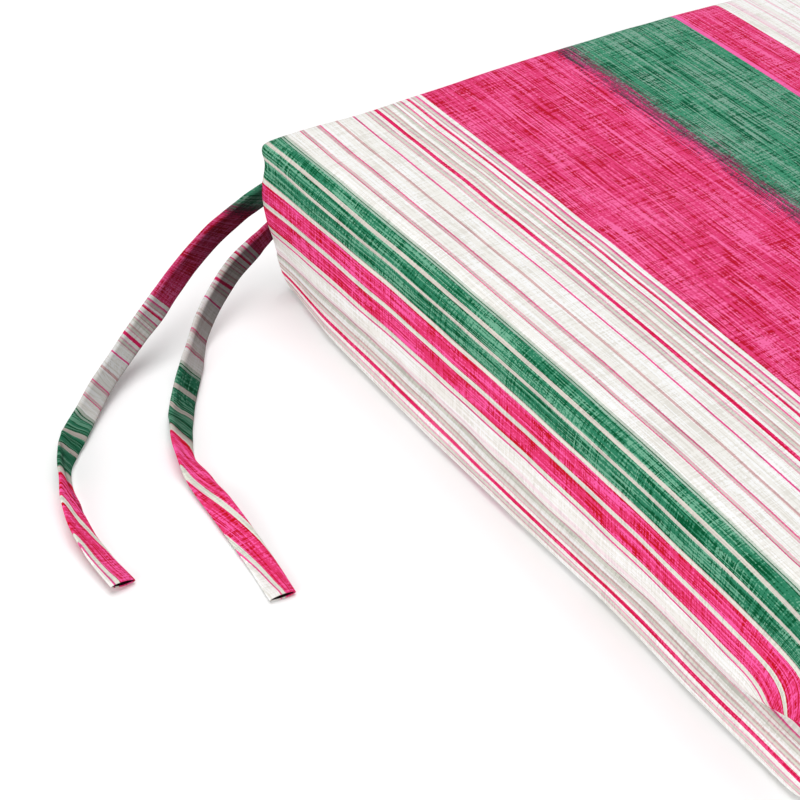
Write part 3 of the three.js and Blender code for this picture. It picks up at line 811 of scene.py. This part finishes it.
def lower_cloth(block, point, region):
    """The same for the bottom panel, from its place on the finished cushion. It is folded at the
    foot, and mitred at the front corners, so the stripe runs straight along each side."""
    x, y, z = point
    foot = SEAM_CLOTH - FLAT_UPSTAND
    if region == "bottom":
        return foot - (x + HALF_SIDE - FOOT_CLOTH_DRAW_IN), y
    if region == "lower_side_x":
        # Round a corner the cloth goes up as far as on the straight part of the side, then inwards
        straight = cushion_point(block[0], max(block[1], FRONT_CORNER_RADIUS - HALF_SIDE), block[2])
        from_foot = HALF_SIDE - read_table(FOOT_LINE, straight.y) - abs(straight.x)
        away = math.hypot(from_foot, straight.z) + abs(straight.x) - abs(x)
        return (foot + away if x < 0 else foot - 2 * HALF_SIDE - away), y
    away = math.hypot(HALF_SIDE - END_FOOT_DRAW_IN - abs(y), z)
    return foot - (x + HALF_SIDE - FOOT_CLOTH_DRAW_IN), math.copysign(HALF_SIDE + away, y)


def make_cushion():
    """A block, cut into cells and side levels, then moved to the filled shape."""
    mesh = bmesh.new()
    bmesh.ops.create_cube(mesh, size=2.0)
    levels = len(SIDE_LEVELS) - 1
    upright = [e for e in mesh.edges if abs(e.verts[0].co.z - e.verts[1].co.z) > 1]
    bmesh.ops.subdivide_edges(mesh, edges=upright, cuts=levels - 1)
    flat = [e for e in mesh.edges if abs(e.verts[0].co.z - e.verts[1].co.z) < 1e-4]
    bmesh.ops.subdivide_edges(mesh, edges=flat, cuts=PANEL_CELLS - 1, use_grid_fill=True)
    cloth_map = mesh.loops.layers.uv.new("cloth")
    painted_shade = mesh.loops.layers.float.new("painted_shade")
    blocks = {}
    for vertex in mesh.verts:
        x, y, z = vertex.co
        level = SIDE_LEVELS[round((z + 1) / 2 * levels)]
        spaced = [HALF_SIDE * t * (1 + CELL_CROWDING - CELL_CROWDING * t * t) for t in (x, y)]
        blocks[vertex] = (spaced[0], spaced[1], float(level))
    points = {vertex: cushion_point(*block) for vertex, block in blocks.items()}
    for face in mesh.faces:
        corners = [blocks[v] for v in face.verts]
        heights = [c[2] for c in corners]
        if min(heights) == CORNER_HEIGHT:
            region = "top"
        elif max(heights) == 0:
            region = "bottom"
        else:
            region = "upper_side" if min(heights) >= TOP_PANEL_FROM - 1e-6 else "lower_side"
            if all(abs(abs(c[0]) - HALF_SIDE) < 1e-3 for c in corners):
                region += "_x"
        for loop in face.loops:
            block = blocks[loop.vert]
            if region == "top" or region.startswith("upper"):
                across, along = upper_cloth(block, region)
            else:
                across, along = lower_cloth(block, points[loop.vert], region)
            loop[cloth_map].uv = (across * MM, along * MM)
            # Painted shade: the bottom panel's upstand is darkened towards the seam above it
            under_seam = smooth_step(*SEAM_PAINTED_SHADE_HEIGHTS, points[loop.vert].z)
            loop[painted_shade] = mix(1.0, SEAM_PAINTED_SHADE, under_seam) if "lower" in region else 1.0
    for vertex, point in points.items():
        vertex.co = point
    mesh.normal_update()
    for vertex in mesh.verts:
        point = points[vertex]
        near_seam = math.exp(-((point.z - SEAM_HEIGHT) / PUCKER_REACH) ** 2)
        uneven = noise.noise(point / RIPPLE_SIZE) * RIPPLE
        uneven += noise.noise(point / PUCKER_SIZE) * PUCKER * near_seam
        vertex.co += vertex.normal * uneven * smooth_step(*RIPPLE_FROM_HEIGHT, point.z)
    bmesh.ops.scale(mesh, vec=(MM, MM, MM), verts=mesh.verts)
    bmesh.ops.recalc_face_normals(mesh, faces=mesh.faces)
    data = bpy.data.meshes.new("cushion_cloth")
    mesh.to_mesh(data)
    mesh.free()
    data.materials.append(cloth)
    data.shade_smooth()
    piece = bpy.data.objects.new("cushion_cloth", data)
    bpy.context.collection.objects.link(piece)
    rounding = piece.modifiers.new("rounding", "SUBSURF")
    rounding.levels = rounding.render_levels = 1
    return piece


cushion = make_cushion()
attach(cushion, "root")
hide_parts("cushion")

# ---------------------------------------------------------------------------------------------
# Stage: a plain near-white floor, soft even light all round, a large soft light overhead and a
# weaker one low at the left.
# ---------------------------------------------------------------------------------------------

FLOOR_HALF_SIZE = 6.0
SURROUNDING_LIGHT = 0.5
LIT_SPOT = Vector((-0.1, 0.0, 0.05))
SOFTBOXES = [
    {"name": "overhead_softbox", "place": (-0.1, 0.4, 4.4), "size": 3.2, "energy": 121.0},
    {"name": "side_softbox", "place": (-5.2, -2.2, 1.5), "size": 3.6, "energy": 165.0},
]

floor_data = bpy.data.meshes.new("floor")
floor_mesh = bmesh.new()
bmesh.ops.create_grid(floor_mesh, x_segments=1, y_segments=1, size=FLOOR_HALF_SIZE)
floor_mesh.to_mesh(floor_data)
floor_mesh.free()
floor = bpy.data.objects.new("floor", floor_data)
bpy.context.collection.objects.link(floor)

# Uncoated paper: it gives the eye an even white with no shine
paper = bpy.data.materials.new("matte_studio_paper")
paper.use_nodes = True
paper_shader = paper.node_tree.nodes["Principled BSDF"]
paper_shader.inputs["Base Color"].default_value = linear("f7f7f7")
paper_shader.inputs["Roughness"].default_value = 1.0
paper_shader.inputs["Specular IOR Level"].default_value = 0.0
floor_data.materials.append(paper)

world = bpy.data.worlds.new("studio")
bpy.context.scene.world = world
world.use_nodes = True
surroundings = world.node_tree.nodes["Background"]
surroundings.inputs["Color"].default_value = (1.0, 1.0, 1.0, 1.0)
surroundings.inputs["Strength"].default_value = SURROUNDING_LIGHT
for row in SOFTBOXES:
    softbox_data = bpy.data.lights.new(row["name"], "AREA")
    softbox_data.shape = "SQUARE"
    softbox_data.size = row["size"]
    softbox_data.energy = row["energy"]
    softbox = bpy.data.objects.new(row["name"], softbox_data)
    softbox.location = row["place"]
    towards = LIT_SPOT - softbox.location
    softbox.rotation_euler = towards.to_track_quat("-Z", "Y").to_euler()
    bpy.context.collection.objects.link(softbox)
bpy.context.scene.view_settings.view_transform = "Standard"
